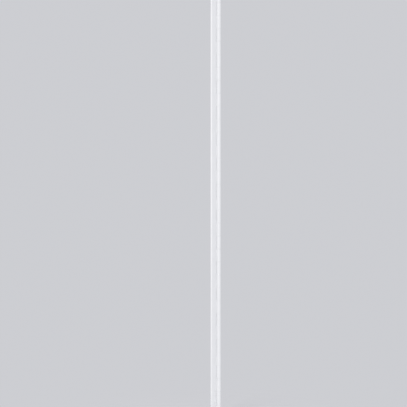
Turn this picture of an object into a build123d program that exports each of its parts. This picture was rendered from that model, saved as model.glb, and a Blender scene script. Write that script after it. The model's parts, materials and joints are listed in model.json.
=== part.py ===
from build123d import *
import math
import os

# Piano hinge: two sheet-steel leaves with interleaved rolled knuckles on one full-length pin.
# Millimetres, +Z up. The origin is the middle of the frame leaf's back face, -Y is the side the barrel
# stands on. The leaves are at right angles, backs together, as they are when the door is fully open.

# Knuckles along the length
knuckle_count = 33
knuckle_pitch = 20.0
knuckle_gap = 0.1
length = knuckle_count * knuckle_pitch

# Pin and rolled barrel
pin_radius = 2.0
running_clearance = 0.05
sheet = 1.5
bore_radius = pin_radius + running_clearance
barrel_radius = bore_radius + sheet
curl_seam = 0.3

# Leaf, measured square to the pin. The joggle sets the barrel back from the face that lies on the frame.
leaf_reach = 12.5
web_start = 4.05
joggle_length = 1.5
joggle_height = 0.1
edge_roll_width = 2.4
edge_roll_depth = 0.8
web_middle = (leaf_reach + web_start) / 2
web_back = barrel_radius + joggle_height

# Pin ends and the punch marks that lock the end knuckles on the pin
pin_chamfer = 0.4
punch_ball_radius = 1.4
punch_depth = 0.35

# The pin stands in front of the frame leaf's back face, to the right of its middle
pin_x = web_middle
pin_y = -web_back
pin_foot = Vector(pin_x, pin_y, 0)

# In each leaf's own plane the pin is at (0, 0), the web runs to -X and its back face looks along +Y
frame_leaf_plane = Plane(origin=pin_foot, x_dir=(1, 0, 0), z_dir=(0, 0, 1))
door_leaf_plane = Plane(origin=pin_foot, x_dir=(0, -1, 0), z_dir=(0, 0, -1))


def knuckle_span(number):
    """Low and high ends of a knuckle along the pin, with a gap to each neighbour."""
    low = -length / 2 + number * knuckle_pitch
    high = low + knuckle_pitch
    if number > 0:
        low += knuckle_gap / 2
    if number < knuckle_count - 1:
        high -= knuckle_gap / 2
    return low, high


def knuckle_section(plane, inner_radius):
    """Section of a tab: out of the web, over the joggle and once round the pin, to a narrow open seam."""
    outer_radius = inner_radius + sheet
    seam_angle = math.degrees(math.asin((inner_radius - curl_seam) / outer_radius))
    end_angle = 180 - seam_angle
    wrap = 270 + seam_angle
    joggle_end = joggle_length - web_start
    with BuildSketch(plane) as section:
        with BuildLine():
            outer_curl = CenterArc((0, 0), outer_radius, 90, -wrap)
            inner_curl = CenterArc((0, 0), inner_radius, end_angle, wrap)
            Line(outer_curl @ 1, inner_curl @ 0)
            Polyline(
                inner_curl @ 1,
                (joggle_end, inner_radius),
                (-web_start, web_back - sheet),
                (-web_start, web_back),
                (joggle_end, outer_radius),
                outer_curl @ 0,
            )
        make_face()
    return section.sketch


def web_section(plane):
    """Section of the flat web. Its face on the barrel's side falls away gently at the free edge."""
    web_front = web_back - sheet
    roll_centre = (edge_roll_width - leaf_reach, web_front + edge_roll_depth)
    with BuildSketch(plane) as section:
        with BuildLine():
            edge_roll = EllipticalCenterArc(roll_centre, edge_roll_width, edge_roll_depth, 180, arc_size=90)
            Polyline(
                edge_roll @ 1,
                (-web_start, web_front),
                (-web_start, web_back),
                (-leaf_reach, web_back),
                edge_roll @ 0,
            )
        make_face()
    return section.sketch


def build_leaf(leaf_plane, numbers):
    """One leaf: a flat web and its curled knuckles. An end knuckle is closed tight on the pin."""
    with BuildPart() as leaf:
        extrude(web_section(leaf_plane.offset(-length / 2)), amount=length)
        for number in numbers:
            low, high = knuckle_span(number)
            is_end = number in (0, knuckle_count - 1)
            inner_radius = pin_radius if is_end else bore_radius
            extrude(knuckle_section(leaf_plane.offset(low), inner_radius), amount=high - low)
    return leaf


# Frame leaf: both end knuckles and every second one between, with a punch mark on each end knuckle
frame_leaf = build_leaf(frame_leaf_plane, range(0, knuckle_count, 2))
punch_y = pin_y - pin_radius - sheet - punch_ball_radius + punch_depth
punch_z = (length - knuckle_pitch) / 2
with frame_leaf:
    with Locations((pin_x, punch_y, -punch_z), (pin_x, punch_y, punch_z)):
        Sphere(punch_ball_radius, mode=Mode.SUBTRACT)
frame_leaf.part.label = "frame_leaf"

# Door leaf: the knuckles between the frame leaf's
door_leaf = build_leaf(door_leaf_plane, range(1, knuckle_count, 2))
door_leaf.part.label = "door_leaf"

# Pin: one straight wire, flush with the hinge's ends
with BuildPart() as hinge_pin:
    with BuildSketch(Plane(origin=(pin_x, pin_y, -length / 2))):
        Circle(pin_radius)
    extrude(amount=length)
    chamfer(hinge_pin.edges().filter_by(GeomType.CIRCLE), pin_chamfer)
hinge_pin.part.label = "hinge_pin"

os.makedirs("parts", exist_ok=True)
export_step(frame_leaf.part, "parts/frame_leaf.step")
export_step(door_leaf.part, "parts/door_leaf.step")
export_step(hinge_pin.part, "parts/hinge_pin.step")
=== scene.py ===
import math

import bpy
from mathutils import Matrix, Vector
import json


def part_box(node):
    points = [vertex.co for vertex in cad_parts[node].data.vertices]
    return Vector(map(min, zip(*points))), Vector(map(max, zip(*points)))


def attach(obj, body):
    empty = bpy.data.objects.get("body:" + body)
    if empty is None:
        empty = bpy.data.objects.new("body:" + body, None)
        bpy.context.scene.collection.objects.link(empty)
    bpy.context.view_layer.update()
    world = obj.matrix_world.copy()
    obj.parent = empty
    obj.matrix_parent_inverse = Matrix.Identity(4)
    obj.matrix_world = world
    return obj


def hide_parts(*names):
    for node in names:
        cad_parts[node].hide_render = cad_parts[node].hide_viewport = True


# The looks of a piano hinge: two rolled sheet-steel leaves under light grey paint, and a bare steel pin.
# The frame is in metres, with +Z along the pin and -Y towards the viewer.

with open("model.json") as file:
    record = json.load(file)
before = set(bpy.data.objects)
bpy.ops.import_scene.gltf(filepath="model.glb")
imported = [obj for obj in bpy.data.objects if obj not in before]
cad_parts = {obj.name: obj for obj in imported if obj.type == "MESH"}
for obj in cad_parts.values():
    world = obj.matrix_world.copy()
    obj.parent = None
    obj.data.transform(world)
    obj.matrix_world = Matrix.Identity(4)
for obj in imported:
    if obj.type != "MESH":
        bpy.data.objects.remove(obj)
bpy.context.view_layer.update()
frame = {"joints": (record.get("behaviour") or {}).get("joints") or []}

MM = 0.001

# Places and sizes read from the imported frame
axis_x, axis_y, _ = frame["joints"][0]["pos_m"]
leaf_low, leaf_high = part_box("frame_leaf")
pin_low, pin_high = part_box("hinge_pin")
half_length = leaf_high.z
floor_height = leaf_low.z
leaf_reach = axis_x - leaf_low.x
web_back = leaf_high.y - axis_y
pin_radius = (pin_high.x - pin_low.x) / 2

# Sizes of the sheet metal, as the CAD model has them
KNUCKLE_COUNT = 33
KNUCKLE_GAP = 0.1 * MM
SHEET = 1.5 * MM
RUNNING_CLEARANCE = 0.05 * MM
WEB_START = 4.05 * MM
JOGGLE_LENGTH = 1.5 * MM
CURL_SEAM = 0.3 * MM
EDGE_ROLL_WIDTH = 2.4 * MM
EDGE_ROLL_DEPTH = 0.8 * MM
PUNCH_BALL_RADIUS = 1.4 * MM
PUNCH_DEPTH = 0.35 * MM
PIN_CHAMFER = 0.4 * MM

# Finer shape that only the looks need. A curl closes up to SEAM_WANDER early or late, on a sine that moves
# on by SEAM_WANDER_STEP radians from one knuckle to the next.
RIM_RADIUS = 0.1 * MM
NOTCH_RADIUS = 0.3 * MM
SEAM_WANDER = math.radians(0.8)
SEAM_WANDER_STEP = 2.4

# The low lip pushed up round a punch mark. Its middle and width are shares of the mark's own radius, and the
# barrel is round again beyond PUNCH_REACH.
LIP_HEIGHT = 0.035 * MM
LIP_MIDDLE = 1.12
LIP_WIDTH = 0.16
PUNCH_REACH = 1.2 * PUNCH_BALL_RADIUS

# How finely the leaves are divided. SUPPORT is the narrow band beside an edge that keeps a flat face flat,
# and KNUCKLE_BAND is the wider one at each end of a knuckle.
SUPPORT = 0.15 * MM
KNUCKLE_BAND = 2 * MM
WEB_STEPS = 4
NOTCH_STEPS = 6
CURL_STEPS = 64
PUNCH_STEPS = 14
PUNCH_ROWS_REACH = 1.25 * PUNCH_BALL_RADIUS
BACK_RIM_STEPS = 3
FRONT_RIM_STEPS = 9
NOTCH_SHARES = (0.03, 0.5, 0.97)
JOGGLE_SHARES = (0.35, 0.5, 0.65, 0.8, 1.0)
STRAIGHT_SHARES = (0.34, 0.67, 1.0)

knuckle_pitch = 2 * half_length / KNUCKLE_COUNT
web_middle = web_back - SHEET / 2
web_end = leaf_reach - WEB_START
joggle_end = web_end + JOGGLE_LENGTH
bore_radius = pin_radius + RUNNING_CLEARANCE


# ---------------------------------------------------------------- the rolled sheet
# A leaf is drawn as the flat comb-shaped strip that it is cut from, in (s, z): s runs from the free edge
# towards the pin along the sheet's middle, z along the hinge. Then each point is rolled to its place.

def rolled(s, height, inner_radius):
    """Where a point of the flat strip ends up, as (u, v) from the pin. height is off the sheet's middle."""
    middle = inner_radius + SHEET / 2
    u = s - leaf_reach
    if u <= -WEB_START:
        return u, web_middle + height
    if u < JOGGLE_LENGTH - WEB_START:
        share = (u + WEB_START) / JOGGLE_LENGTH
        drop = web_middle - middle
        v = web_middle - drop * (1 - math.cos(math.pi * share)) / 2
        slope = -drop * math.pi / 2 * math.sin(math.pi * share) / JOGGLE_LENGTH
        size = math.hypot(1, slope)
        return u - height * slope / size, v + height / size
    if u <= 0:
        return u, middle + height
    angle = math.pi / 2 - u / middle
    return (middle + height) * math.cos(angle), (middle + height) * math.sin(angle)


def knuckle_span(number):
    """Low and high ends of a knuckle along the pin, with a gap to each neighbour."""
    low = -half_length + number * knuckle_pitch
    high = low + knuckle_pitch
    if number > 0:
        low += KNUCKLE_GAP / 2
    if number < KNUCKLE_COUNT - 1:
        high -= KNUCKLE_GAP / 2
    return low, high


def is_end(number):
    """Whether this is a knuckle at the top or bottom of the hinge."""
    return number in (0, KNUCKLE_COUNT - 1)


def inner_radius_of(number):
    """An end knuckle is closed tight on the pin, and the others turn on it."""
    return pin_radius if is_end(number) else bore_radius


def dented(u, v, z, number):
    """The punch mark that locks an end knuckle: a ball pressed into the barrel's front, with a low lip."""
    low, high = knuckle_span(number)
    off = math.hypot(u, z - (low + high) / 2)
    barrel = inner_radius_of(number) + SHEET
    on_outer_skin = math.hypot(u, v) >= barrel - SHEET / 2
    if v > 0 or off > PUNCH_REACH or not on_outer_skin:
        return u, v
    mark = math.sqrt(PUNCH_BALL_RADIUS**2 - (PUNCH_BALL_RADIUS - PUNCH_DEPTH) ** 2)
    v -= LIP_HEIGHT * math.exp(-(((off / mark - LIP_MIDDLE) / LIP_WIDTH) ** 2))
    if off < PUNCH_BALL_RADIUS:
        ball = barrel + PUNCH_BALL_RADIUS - PUNCH_DEPTH
        pit = ball - math.sqrt(PUNCH_BALL_RADIUS**2 - off**2)
        v = max(v, -pit)
    return u, v


# ---------------------------------------------------------------- the flat strip

def web_columns():
    """Places across the web, with a narrow band at each edge."""
    first = EDGE_ROLL_WIDTH + SUPPORT
    last = web_end - SUPPORT
    between = [first + (last - first) * step / WEB_STEPS for step in range(WEB_STEPS + 1)]
    return [0.0, *between, web_end]


def tab_columns(number):
    """Places along a tab, from the notch's root to the curl's end. No two curls close quite alike."""
    inner = inner_radius_of(number)
    seam = math.asin((inner - CURL_SEAM) / (inner + SHEET))
    three_quarters = math.tau * 3 / 4
    wrap = three_quarters + seam + SEAM_WANDER * math.sin(SEAM_WANDER_STEP * number)
    curl_length = (inner + SHEET / 2) * wrap
    turns = [math.pi / 2 * step / NOTCH_STEPS for step in range(1, NOTCH_STEPS + 1)]
    notch = [web_end + NOTCH_RADIUS * (1 - math.cos(turn)) for turn in turns]
    joggle = [web_end + JOGGLE_LENGTH * share for share in JOGGLE_SHARES]
    straight = [joggle_end + (leaf_reach - joggle_end) * share for share in STRAIGHT_SHARES]
    shares = [step / CURL_STEPS for step in range(1, CURL_STEPS + 1)]
    curl = [leaf_reach + (curl_length - SUPPORT) * share for share in shares]
    return [*notch, *joggle, *straight, *curl, leaf_reach + curl_length]


def flare(s):
    """How far a tab's side swings out into the notch near its root: a quarter circle."""
    short = NOTCH_RADIUS - (s - web_end)
    if short <= 0:
        return 0.0
    return NOTCH_RADIUS - math.sqrt(max(NOTCH_RADIUS**2 - short**2, 0.0))


def notch_rows(low, high):
    """Rows across a notch, where the other leaf has its knuckle."""
    return [(low + (high - low) * share, 0, None) for share in NOTCH_SHARES]


def knuckle_rows(number):
    """Rows between a knuckle's ends. An end knuckle has a close band of them for its punch mark."""
    low, high = knuckle_span(number)
    middle = (low + high) / 2
    inside = [middle]
    if is_end(number):
        steps = range(-PUNCH_STEPS, PUNCH_STEPS + 1)
        inside = [middle + PUNCH_ROWS_REACH * step / PUNCH_STEPS for step in steps]
    places = [low + SUPPORT, low + KNUCKLE_BAND, *inside, high - KNUCKLE_BAND, high - SUPPORT]
    return [(z, 0, number) for z in places]


def leaf_rows(numbers):
    """Rows along the hinge as (z, flare side, knuckle of the stretch above, or None in a notch)."""
    rows = []
    if numbers[0] != 0:
        rows += [(-half_length, 0, None), (-half_length + SUPPORT, 0, None)]
    notch_low = -half_length
    for number in numbers:
        low, high = knuckle_span(number)
        starts_leaf = number == 0
        ends_leaf = number == KNUCKLE_COUNT - 1
        if not starts_leaf:
            rows += notch_rows(notch_low, low)
        rows.append((low, 0 if starts_leaf else -1, number))
        rows += knuckle_rows(number)
        rows.append((high, 0 if ends_leaf else 1, None))
        notch_low = high
    if numbers[-1] != KNUCKLE_COUNT - 1:
        rows += notch_rows(notch_low, half_length)
        rows += [(half_length - SUPPORT, 0, None), (half_length, 0, None)]
    return rows


class FlatStrip:
    """A leaf's flat strip, as quads between (column, row) corners, and the outline round them."""

    def __init__(self, numbers):
        self.web = web_columns()
        self.tabs = {number: tab_columns(number) for number in numbers}
        self.rows = leaf_rows(numbers)
        self.quads = []
        self.knuckle_at = {}
        for j, (_, _, number) in enumerate(self.rows[:-1]):
            tab = self.tabs.get(number, [])
            for i in range(len(self.web) + len(tab) - 1):
                quad = ((i, j), (i + 1, j), (i + 1, j + 1), (i, j + 1))
                self.quads.append(quad)
                if number is not None:
                    self.knuckle_at.update((corner, number) for corner in quad)
        self.points = {corner: self.place(*corner) for quad in self.quads for corner in quad}
        self.find_outline()

    def place(self, i, j):
        """Where a corner lies on the flat strip, as (s, z)."""
        z, side, _ = self.rows[j]
        beyond_web = i - len(self.web)
        if beyond_web < -1:
            return Vector((self.web[i], z))
        s = web_end if beyond_web < 0 else self.tabs[self.knuckle_at[i, j]][beyond_web]
        return Vector((s, z + side * flare(s)))

    def find_outline(self):
        """Link each corner of the outline to the next. The outline runs with the strip on its left."""
        sides = [(quad[n], quad[(n + 1) % 4]) for quad in self.quads for n in range(4)]
        known = set(sides)
        self.following = {a: b for a, b in sides if (b, a) not in known}
        self.prior = {b: a for a, b in self.following.items()}

    def outwards(self, a, b):
        """The direction away from the strip, square to its outline between two corners."""
        along = (self.points[b] - self.points[a]).normalized()
        return Vector((along.y, -along.x))


# ---------------------------------------------------------------- from strip to solid

def rim_profile():
    """Steps round a cut edge, from the back face to the front: (is back, inset share, drop share)."""
    back = [math.pi / 2 * step / BACK_RIM_STEPS for step in range(BACK_RIM_STEPS + 1)]
    front = [math.pi / 2 * (1 - step / FRONT_RIM_STEPS) for step in range(FRONT_RIM_STEPS + 1)]
    steps = [(True, turn) for turn in back] + [(False, turn) for turn in front]
    return [(is_back, 1 - math.sin(turn), 1 - math.cos(turn)) for is_back, turn in steps]


def roll_size(is_back, a, b):
    """Width and depth of an edge's rounding. Only the free edge's front falls away gently."""
    on_free_edge = a[0] == 0 and b[0] == 0
    if on_free_edge and not is_back:
        return EDGE_ROLL_WIDTH, EDGE_ROLL_DEPTH
    return RIM_RADIUS, RIM_RADIUS


def inset(normal_a, depth_a, normal_b, depth_b):
    """The move that takes a corner inwards by one depth off each of its two edges."""
    nearly_parallel = 1e-4
    cross = normal_a.x * normal_b.y - normal_a.y * normal_b.x
    if abs(cross) < nearly_parallel:
        return -normal_a * (depth_a + depth_b) / 2
    x = (-depth_a * normal_b.y + depth_b * normal_a.y) / cross
    y = (-normal_a.x * depth_b + normal_b.x * depth_a) / cross
    return Vector((x, y))


def leaf_mesh(name, numbers, place):
    """One leaf as a closed mesh: two skins, and a rounded rim round the strip's whole outline."""
    strip = FlatStrip(numbers)
    vertices = []

    def put(point, height, corner):
        """Roll one point of the strip and keep it. Returns its number in the mesh."""
        number = strip.knuckle_at.get(corner)
        inner = bore_radius if number is None else inner_radius_of(number)
        u, v = rolled(point.x, height, inner)
        if number is not None and is_end(number):
            u, v = dented(u, v, point.y, number)
        vertices.append(place @ Vector((u, v, point.y)))
        return len(vertices) - 1

    def rim(corner):
        """The ring of points round the cut edge at one corner of the outline."""
        prior = strip.prior[corner]
        following = strip.following[corner]
        normal_a = strip.outwards(prior, corner)
        normal_b = strip.outwards(corner, following)
        ring = []
        for is_back, inset_share, drop_share in rim_profile():
            width_a, depth_a = roll_size(is_back, prior, corner)
            width_b, depth_b = roll_size(is_back, corner, following)
            move = inset(normal_a, width_a * inset_share, normal_b, width_b * inset_share)
            height = SHEET / 2 - max(depth_a, depth_b) * drop_share
            ring.append(put(strip.points[corner] + move, height if is_back else -height, corner))
        return ring

    rims = {corner: rim(corner) for corner in strip.following}
    back = {corner: ring[0] for corner, ring in rims.items()}
    front = {corner: ring[-1] for corner, ring in rims.items()}
    for corner, point in strip.points.items():
        if corner not in rims:
            back[corner] = put(point, SHEET / 2, corner)
            front[corner] = put(point, -SHEET / 2, corner)

    faces = []
    for quad in strip.quads:
        faces.append([back[corner] for corner in reversed(quad)])
        faces.append([front[corner] for corner in quad])
    for a, b in strip.following.items():
        for low in range(len(rims[a]) - 1):
            faces.append([rims[a][low], rims[b][low], rims[b][low + 1], rims[a][low + 1]])
    return finished(name, vertices, faces)


def finished(name, vertices, faces):
    """A smooth-shaded object from its points and faces, with every face turned outwards."""
    mesh = bpy.data.meshes.new(name)
    mesh.from_pydata([tuple(point) for point in vertices], [], faces)
    mesh.validate()
    piece = bpy.data.objects.new(name, mesh)
    bpy.context.scene.collection.objects.link(piece)
    bpy.context.view_layer.objects.active = piece
    piece.select_set(True)
    bpy.ops.object.mode_set(mode="EDIT")
    bpy.ops.mesh.select_all(action="SELECT")
    bpy.ops.mesh.normals_make_consistent(inside=False)
    bpy.ops.object.mode_set(mode="OBJECT")
    piece.select_set(False)
    mesh.shade_smooth()
    return piece


# The frame leaf lies left of the pin with its back away from the viewer. The door leaf is the same strip,
# turned end for end and a quarter turn back round the pin.
frame_place = Matrix.Translation((axis_x, axis_y, 0))
door_place = Matrix(((0, -1, 0, axis_x), (-1, 0, 0, axis_y), (0, 0, -1, 0), (0, 0, 0, 1)))

frame_leaf = leaf_mesh("frame_leaf_rolled", range(0, KNUCKLE_COUNT, 2), frame_place)
door_leaf = leaf_mesh("door_leaf_rolled", range(1, KNUCKLE_COUNT, 2), door_place)


# ---------------------------------------------------------------- pin

# The cut end rises to a low dome, and the chamfer's two corners are softened over about PIN_SOFT. The plain
# side starts PIN_SIDE_START beyond the chamfer.
PIN_STEPS = 72
PIN_DOME = 0.05 * MM
PIN_DOME_SHARES = (0.3, 0.6, 0.8, 0.9, 0.96)
PIN_SOFT = 0.06 * MM
PIN_SOFT_NEAR = 0.2 * PIN_SOFT
PIN_SOFT_OFF = 0.15 * PIN_SOFT
PIN_SIDE_START = 3 * PIN_SOFT


def pin_profile():
    """The pin's outline as (radius, z) points, from the middle of its foot to the middle of its top."""
    face_radius = pin_radius - PIN_CHAMFER
    end = [(0.0, 0.0)]
    end += [(face_radius * share, PIN_DOME * share**2) for share in PIN_DOME_SHARES]
    end.append((face_radius + PIN_SOFT_NEAR, PIN_DOME + PIN_SOFT_OFF))
    end.append((face_radius + PIN_SOFT, PIN_DOME + PIN_SOFT))
    end.append((pin_radius - PIN_SOFT, PIN_CHAMFER))
    end.append((pin_radius - PIN_SOFT_OFF, PIN_CHAMFER + PIN_SOFT))
    end.append((pin_radius, PIN_CHAMFER + PIN_SIDE_START))
    low = [(radius, -half_length + inwards) for radius, inwards in end]
    high = [(radius, half_length - inwards) for radius, inwards in reversed(end)]
    return low + high


def turned(name, profile, steps):
    """A round piece on the pin's axis from (radius, z) points. The first and last lie on the axis."""
    vertices = [Vector((axis_x, axis_y, profile[0][1])), Vector((axis_x, axis_y, profile[-1][1]))]
    rings = []
    for radius, z in profile[1:-1]:
        rings.append(range(len(vertices), len(vertices) + steps))
        for step in range(steps):
            turn = math.tau * step / steps
            vertices.append(Vector((axis_x + radius * math.cos(turn), axis_y + radius * math.sin(turn), z)))
    faces = []
    for step in range(steps):
        after = (step + 1) % steps
        faces.append([0, rings[0][after], rings[0][step]])
        faces.append([1, rings[-1][step], rings[-1][after]])
        for low, high in zip(rings, rings[1:]):
            faces.append([low[step], low[after], high[after], high[step]])
    return finished(name, vertices, faces)


hinge_pin = turned("hinge_pin_drawn", pin_profile(), PIN_STEPS)


# ---------------------------------------------------------------- materials

# Waves are per metre, and a roughness is a range. A noise is used over its middle range.
NOISE_LOW = 0.3
NOISE_HIGH = 0.7
PAINT_DARK = (0.773, 0.783, 0.807)
PAINT_LIGHT = (0.792, 0.802, 0.826)
PAINT_DRIFT_WAVES = 55
PAINT_ROUGHNESS = (0.31, 0.37)
PAINT_PATCH_WAVES = 240
PAINT_IOR = 1.5
PEEL_WAVES = 1500
PEEL_HEIGHT = 0.025 * MM
DUST_WAVES = 5200
DUST_HEIGHT = 0.003 * MM
STEEL_DARK = (0.50, 0.50, 0.51)
STEEL_LIGHT = (0.66, 0.66, 0.67)
STEEL_BLOOM_WAVES = 700
STEEL_ROUGHNESS = (0.24, 0.42)
DIE_LINE_WAVES = 9000
DIE_LINE_STRETCH = (1, 1, 0.01)
DIE_LINE_HEIGHT = 0.003 * MM


def new_material(name):
    """A node material, with its nodes, its links and its shader."""
    material = bpy.data.materials.new(name)
    material.use_nodes = True
    nodes = material.node_tree.nodes
    return material, nodes, material.node_tree.links, nodes["Principled BSDF"]


def object_noise(nodes, links, waves, detail, stretch=(1, 1, 1)):
    """Noise fixed to the object. stretch scales the waves along X, Y and Z."""
    place = nodes.new("ShaderNodeTexCoord")
    mapping = nodes.new("ShaderNodeMapping")
    mapping.inputs["Scale"].default_value = stretch
    noise = nodes.new("ShaderNodeTexNoise")
    noise.inputs["Scale"].default_value = waves
    noise.inputs["Detail"].default_value = detail
    links.new(place.outputs["Object"], mapping.inputs["Vector"])
    links.new(mapping.outputs["Vector"], noise.inputs["Vector"])
    return noise.outputs["Fac"]


def tint(nodes, links, source, dark, light):
    """A colour from dark to light over a noise."""
    node = nodes.new("ShaderNodeValToRGB")
    stops = ((NOISE_LOW, dark), (NOISE_HIGH, light))
    for element, (position, colour) in zip(node.color_ramp.elements, stops):
        element.position = position
        element.color = (*colour, 1.0)
    links.new(source, node.inputs["Fac"])
    return node.outputs["Color"]


def spread(nodes, links, source, low, high):
    """A value from low to high over a noise."""
    node = nodes.new("ShaderNodeMapRange")
    node.inputs["From Min"].default_value = NOISE_LOW
    node.inputs["From Max"].default_value = NOISE_HIGH
    node.inputs["To Min"].default_value = low
    node.inputs["To Max"].default_value = high
    links.new(source, node.inputs["Value"])
    return node.outputs["Result"]


def bump(nodes, links, source, height, after=None):
    """A bump of this height in metres, laid over another bump if one is given."""
    node = nodes.new("ShaderNodeBump")
    node.inputs["Strength"].default_value = 1.0
    node.inputs["Distance"].default_value = height
    links.new(source, node.inputs["Height"])
    if after is not None:
        links.new(after, node.inputs["Normal"])
    return node.outputs["Normal"]


def paint_material():
    """Light grey baked paint: a fine orange peel, a faint drift in colour and a satin gloss."""
    material, nodes, links, shader = new_material("leaf_paint_satin")
    drift = object_noise(nodes, links, PAINT_DRIFT_WAVES, detail=3)
    links.new(tint(nodes, links, drift, PAINT_DARK, PAINT_LIGHT), shader.inputs["Base Color"])
    patches = object_noise(nodes, links, PAINT_PATCH_WAVES, detail=2)
    links.new(spread(nodes, links, patches, *PAINT_ROUGHNESS), shader.inputs["Roughness"])
    peel = bump(nodes, links, object_noise(nodes, links, PEEL_WAVES, detail=2), PEEL_HEIGHT)
    dust = bump(nodes, links, object_noise(nodes, links, DUST_WAVES, detail=1), DUST_HEIGHT, after=peel)
    links.new(dust, shader.inputs["Normal"])
    shader.inputs["IOR"].default_value = PAINT_IOR
    return material


def steel_material():
    """Bright drawn wire: long fine die lines, and a greyer bloom in patches."""
    material, nodes, links, shader = new_material("pin_steel_drawn")
    bloom = object_noise(nodes, links, STEEL_BLOOM_WAVES, detail=4)
    links.new(tint(nodes, links, bloom, STEEL_DARK, STEEL_LIGHT), shader.inputs["Base Color"])
    lines = object_noise(nodes, links, DIE_LINE_WAVES, detail=2, stretch=DIE_LINE_STRETCH)
    links.new(spread(nodes, links, lines, *STEEL_ROUGHNESS), shader.inputs["Roughness"])
    links.new(bump(nodes, links, lines, DIE_LINE_HEIGHT), shader.inputs["Normal"])
    shader.inputs["Metallic"].default_value = 1.0
    return material


paint = paint_material()
steel = steel_material()
for piece, material, body, node, slot in (
    (frame_leaf, paint, "frame_side", "frame_leaf", "leaf_paint"),
    (door_leaf, paint, "door_side", "door_leaf", "leaf_paint"),
    (hinge_pin, steel, "frame_side", "hinge_pin", "pin_steel"),
):
    piece.data.materials.append(material)
    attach(piece, body)
    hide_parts(node)


# ---------------------------------------------------------------- stage
# The studio is one even pale grey all round, with a small floor of the same grey under the hinge. A wide
# floor would stand in the lamps' light and darken the hinge's foot.

STUDIO_GREY = (0.608, 0.615, 0.645)
FLOOR_DARK = (0.843, 0.843, 0.858)
FLOOR_LIGHT = (0.853, 0.853, 0.868)
FLOOR_CLOUD_WAVES = 3
FLOOR_REACH = 0.32
FADE_START = 0.04
FADE_END = 0.3


def floor_material():
    """Matt paper that thins out to nothing away from the hinge, so that the floor has no edge."""
    material, nodes, links, shader = new_material("studio_paper")
    clouds = object_noise(nodes, links, FLOOR_CLOUD_WAVES, detail=2)
    links.new(tint(nodes, links, clouds, FLOOR_DARK, FLOOR_LIGHT), shader.inputs["Base Color"])
    place = nodes.new("ShaderNodeTexCoord")
    distance = nodes.new("ShaderNodeVectorMath")
    distance.operation = "LENGTH"
    links.new(place.outputs["Object"], distance.inputs[0])
    fade = nodes.new("ShaderNodeMapRange")
    fade.interpolation_type = "SMOOTHSTEP"
    fade.inputs["From Min"].default_value = FADE_START
    fade.inputs["From Max"].default_value = FADE_END
    fade.inputs["To Min"].default_value = 1.0
    fade.inputs["To Max"].default_value = 0.0
    links.new(distance.outputs["Value"], fade.inputs["Value"])
    links.new(fade.outputs["Result"], shader.inputs["Alpha"])
    shader.inputs["Roughness"].default_value = 1.0
    shader.inputs["Specular IOR Level"].default_value = 0.0
    return material


def disc(name, reach, height, rings=12, spokes=64):
    """A round floor under the middle of the hinge."""
    vertices = [(0.0, 0.0, 0.0)]
    for ring in range(1, rings + 1):
        radius = reach * ring / rings
        turns = [math.tau * spoke / spokes for spoke in range(spokes)]
        vertices += [(radius * math.cos(turn), radius * math.sin(turn), 0.0) for turn in turns]
    faces = []
    for spoke in range(spokes):
        after = (spoke + 1) % spokes
        faces.append((0, 1 + spoke, 1 + after))
        for ring in range(rings - 1):
            low = 1 + ring * spokes
            high = low + spokes
            faces.append((low + spoke, high + spoke, high + after, low + after))
    mesh = bpy.data.meshes.new(name)
    mesh.from_pydata(vertices, [], faces)
    stage = bpy.data.objects.new(name, mesh)
    stage.location = (0, 0, height)
    bpy.context.scene.collection.objects.link(stage)
    return stage


floor = disc("studio_floor", FLOOR_REACH, floor_height)
floor.data.materials.append(floor_material())


# ---------------------------------------------------------------- light

LAMP_COLOUR = (1.0, 0.974, 0.921)
LAMP_DISTANCE = 5.0
LAMP_HEIGHT = 0.5
LAMP_LENGTH = 2.8


def softbox(name, azimuth, width, power):
    """An upright soft light that faces the hinge. Azimuth 0 is in front, and it grows to the right."""
    light = bpy.data.lights.new(name, "AREA")
    light.shape = "RECTANGLE"
    light.size = width
    light.size_y = LAMP_LENGTH
    light.energy = power
    light.color = LAMP_COLOUR
    lamp = bpy.data.objects.new(name, light)
    bpy.context.scene.collection.objects.link(lamp)
    turn = math.radians(azimuth)
    away = Vector((math.sin(turn), -math.cos(turn), 0))
    lamp.location = away * LAMP_DISTANCE + Vector((0, 0, LAMP_HEIGHT))
    lamp.rotation_mode = "QUATERNION"
    lamp.rotation_quaternion = (-away).to_track_quat("-Z", "Y")
    lamp.visible_camera = False


softbox("key_left", azimuth=-28, width=1.7, power=112)
softbox("fill_right", azimuth=60, width=0.9, power=56)
softbox("back_left", azimuth=240, width=1.2, power=45)

world = bpy.data.worlds.new("studio_air")
world.use_nodes = True
world.node_tree.nodes["Background"].inputs["Color"].default_value = (*STUDIO_GREY, 1.0)
world.node_tree.nodes["Background"].inputs["Strength"].default_value = 1.0
bpy.context.scene.world = world

bpy.context.scene.view_settings.view_transform = "Standard"


# ---------------------------------------------------------------- camera
# It stands straight in front. The picture is as wide and as high as PICTURE_SIZE at the pin, so both ends
# of the hinge run out of it, and its middle is left of the hinge, as in the photograph.

LENS = 100.0
SENSOR = 36.0
PICTURE_SIZE = 628 * MM
CAMERA_X = -15.2 * MM

camera_data = bpy.data.cameras.new("camera")
camera_data.lens = LENS
camera_data.sensor_width = SENSOR
camera = bpy.data.objects.new("camera", camera_data)
bpy.context.scene.collection.objects.link(camera)
camera.location = (CAMERA_X, axis_y - PICTURE_SIZE * LENS / SENSOR, 0.0)
camera.rotation_euler = (math.pi / 2, 0, 0)
bpy.context.scene.camera = camera
